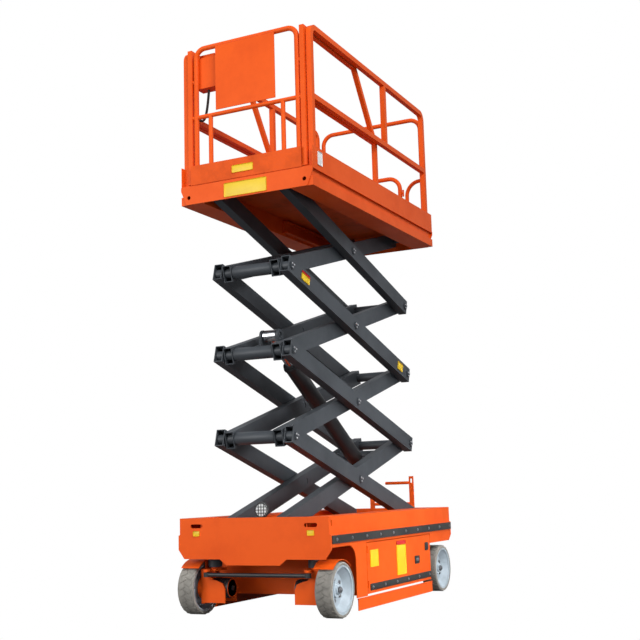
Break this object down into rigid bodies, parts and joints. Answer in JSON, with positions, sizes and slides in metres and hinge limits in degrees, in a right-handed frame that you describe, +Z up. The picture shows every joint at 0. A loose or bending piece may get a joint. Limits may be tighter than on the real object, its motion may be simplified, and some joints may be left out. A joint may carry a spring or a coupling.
{
  "type": "scissor lift",
  "caption": "Electric slab scissor lift with a raised platform, roll-out deck, guard rails, swing-out side trays and steered front wheels.",
  "frame": {"origin": "middle of the machine's box on the ground plane", "axes": "+X to the steered front end, +Y to the machine's left, +Z up"},
  "size_m": [2.386, 1.212, 4.173],
  "materials": {
    "orange_paint": "gloss",
    "grey_paint": "satin",
    "black_paint": "satin",
    "tyre": "matt",
    "rim_paint": "satin",
    "chrome_rod": "polished",
    "battery_case": "matt",
    "black_plastic": "matt",
    "rub_rubber": "matt"
  },
  "bodies": {
    "chassis": {"chassis_frame": "orange_paint", "front_panel": "orange_paint", "side_panels": "orange_paint", "rear_panel": "orange_paint", "rub_rails": "rub_rubber", "ladder": "orange_paint", "axles": "grey_paint"},
    "tray_left": {"tray_left": "orange_paint", "battery_left": "battery_case"},
    "tray_right": {"tray_right": "orange_paint", "power_unit_right": "battery_case"},
    "guard_left": {"guard_left": "orange_paint"},
    "guard_right": {"guard_right": "orange_paint"},
    "knuckle_left": {"knuckle_left": "orange_paint"},
    "knuckle_right": {"knuckle_right": "orange_paint"},
    "tie_rod": {"tie_rod": "grey_paint"},
    "wheel_fl": {"tyre_fl": "tyre", "rim_fl": "rim_paint"},
    "wheel_fr": {"tyre_fr": "tyre", "rim_fr": "rim_paint"},
    "wheel_rl": {"tyre_rl": "tyre", "rim_rl": "rim_paint"},
    "wheel_rr": {"tyre_rr": "tyre", "rim_rr": "rim_paint"},
    "inner_1": {"inner_frame_1": "grey_paint"},
    "inner_2": {"inner_frame_2": "grey_paint"},
    "inner_3": {"inner_frame_3": "grey_paint"},
    "inner_4": {"inner_frame_4": "grey_paint"},
    "outer_1": {"outer_arms_1": "grey_paint"},
    "outer_2": {"outer_arms_2": "grey_paint"},
    "outer_3": {"outer_arms_3": "grey_paint"},
    "outer_4": {"outer_arms_4": "grey_paint"},
    "slide_lower": {"slide_blocks_lower": "black_plastic"},
    "slide_upper": {"slide_blocks_upper": "black_plastic"},
    "lift_barrel": {"lift_barrel": "black_paint"},
    "lift_rod": {"lift_rod": "chrome_rod"},
    "platform": {"platform_frame": "orange_paint", "deck": "orange_paint", "toe_boards": "orange_paint", "guard_rails": "orange_paint"},
    "gate": {"gate": "orange_paint"},
    "extension": {"extension_deck": "orange_paint", "extension_rails": "orange_paint", "sign_panel": "orange_paint", "control_box": "orange_paint"}
  },
  "joints": [
    {"name": "lift", "type": "hinge", "parent": "chassis", "child": "inner_1", "pos_m": [1.076, 0, 0.624], "axis": [0, 1, 0], "range_deg": [-12.2, 40.5]},
    {"name": "cross_1", "type": "hinge", "parent": "inner_1", "child": "outer_1", "pos_m": [0.023, 0, 0.9237], "axis": [0, 1, 0], "range_deg": [-81, 24.4]},
    {"name": "rear_pivot_1", "type": "hinge", "parent": "inner_1", "child": "outer_2", "pos_m": [-1.03, 0, 1.2234], "axis": [0, 1, 0], "range_deg": [-81, 24.4]},
    {"name": "cross_2", "type": "hinge", "parent": "outer_2", "child": "inner_2", "pos_m": [0.023, 0, 1.5231], "axis": [0, 1, 0], "range_deg": [-24.4, 81]},
    {"name": "front_pivot_2", "type": "hinge", "parent": "outer_2", "child": "inner_3", "pos_m": [1.076, 0, 1.8228], "axis": [0, 1, 0], "range_deg": [-24.4, 81]},
    {"name": "cross_3", "type": "hinge", "parent": "inner_3", "child": "outer_3", "pos_m": [0.023, 0, 2.1225], "axis": [0, 1, 0], "range_deg": [-81, 24.4]},
    {"name": "rear_pivot_3", "type": "hinge", "parent": "inner_3", "child": "outer_4", "pos_m": [-1.03, 0, 2.4222], "axis": [0, 1, 0], "range_deg": [-81, 24.4]},
    {"name": "cross_4", "type": "hinge", "parent": "outer_4", "child": "inner_4", "pos_m": [0.023, 0, 2.7219], "axis": [0, 1, 0], "range_deg": [-24.4, 81]},
    {"name": "platform_pivot", "type": "hinge", "parent": "outer_4", "child": "platform", "pos_m": [1.076, 0, 3.0216], "axis": [0, 1, 0], "range_deg": [-12.2, 40.5]},
    {"name": "slide_lower_pivot", "type": "hinge", "parent": "outer_1", "child": "slide_lower", "pos_m": [-1.03, 0, 0.624], "axis": [0, 1, 0], "range_deg": [-12.2, 40.5]},
    {"name": "slide_upper_pivot", "type": "hinge", "parent": "inner_4", "child": "slide_upper", "pos_m": [-1.03, 0, 3.0216], "axis": [0, 1, 0], "range_deg": [-40.5, 12.2]},
    {"name": "barrel_pivot", "type": "hinge", "parent": "inner_1", "child": "lift_barrel", "pos_m": [-0.6181, 0, 1.06458], "axis": [0, 1, 0], "range_deg": [-84.17, 25.35]},
    {"name": "rod_slide", "type": "slide", "parent": "lift_barrel", "child": "lift_rod", "axis": [0.8483, 0, 0.5295], "range_m": [-0.2484, 0.8245]},
    {"name": "extension_slide", "type": "slide", "parent": "platform", "child": "extension", "axis": [1, 0, 0], "range_m": [0, 0.9]},
    {"name": "gate_hinge", "type": "hinge", "parent": "platform", "child": "gate", "pos_m": [-1.125, 0.3, 3.4], "axis": [0, 0, 1], "range_deg": [0, 90]},
    {"name": "tray_left_hinge", "type": "hinge", "parent": "chassis", "child": "tray_left", "pos_m": [0.579, 0.598, 0.3], "axis": [0, 0, -1], "range_deg": [0, 90]},
    {"name": "tray_right_hinge", "type": "hinge", "parent": "chassis", "child": "tray_right", "pos_m": [0.579, -0.598, 0.3], "axis": [0, 0, 1], "range_deg": [0, 90]},
    {"name": "guard_left_hinge", "type": "hinge", "parent": "chassis", "child": "guard_left", "pos_m": [0.045, 0.586, 0.097], "axis": [1, 0, 0], "range_deg": [-88, 0]},
    {"name": "guard_right_hinge", "type": "hinge", "parent": "chassis", "child": "guard_right", "pos_m": [0.045, -0.586, 0.097], "axis": [-1, 0, 0], "range_deg": [-88, 0]},
    {"name": "steer_left", "type": "hinge", "parent": "chassis", "child": "knuckle_left", "pos_m": [1.004, 0.4, 0.38], "axis": [0, 0, 1], "range_deg": [-60, 60]},
    {"name": "steer_right", "type": "hinge", "parent": "chassis", "child": "knuckle_right", "pos_m": [1.004, -0.4, 0.38], "axis": [0, 0, 1], "range_deg": [-60, 60]},
    {"name": "tie_rod_pivot", "type": "hinge", "parent": "knuckle_left", "child": "tie_rod", "pos_m": [1.12, 0.4, 0.285], "axis": [0, 0, 1], "range_deg": [-60, 60]},
    {"name": "wheel_fl", "type": "hinge", "parent": "knuckle_left", "child": "wheel_fl", "pos_m": [1.004, 0.54, 0.186], "axis": [0, 1, 0], "continuous": true},
    {"name": "wheel_fr", "type": "hinge", "parent": "knuckle_right", "child": "wheel_fr", "pos_m": [1.004, -0.54, 0.186], "axis": [0, 1, 0], "continuous": true},
    {"name": "wheel_rl", "type": "hinge", "parent": "chassis", "child": "wheel_rl", "pos_m": [-0.914, 0.54, 0.186], "axis": [0, 1, 0], "continuous": true},
    {"name": "wheel_rr", "type": "hinge", "parent": "chassis", "child": "wheel_rr", "pos_m": [-0.914, -0.54, 0.186], "axis": [0, 1, 0], "continuous": true}
  ],
  "couplings": [
    {"joint": "cross_1", "follows": "lift", "ratio": -2},
    {"joint": "rear_pivot_1", "follows": "lift", "ratio": -2},
    {"joint": "cross_2", "follows": "lift", "ratio": 2},
    {"joint": "front_pivot_2", "follows": "lift", "ratio": 2},
    {"joint": "cross_3", "follows": "lift", "ratio": -2},
    {"joint": "rear_pivot_3", "follows": "lift", "ratio": -2},
    {"joint": "cross_4", "follows": "lift", "ratio": 2},
    {"joint": "platform_pivot", "follows": "lift", "ratio": 1},
    {"joint": "slide_lower_pivot", "follows": "lift", "ratio": 1},
    {"joint": "slide_upper_pivot", "follows": "lift", "ratio": -1},
    {"joint": "barrel_pivot", "follows": "lift", "ratio": -2.0781},
    {"joint": "rod_slide", "follows": "lift", "m_per_rad": 1.1663},
    {"joint": "steer_right", "follows": "steer_left", "ratio": 1},
    {"joint": "tie_rod_pivot", "follows": "steer_left", "ratio": -1}
  ]
}
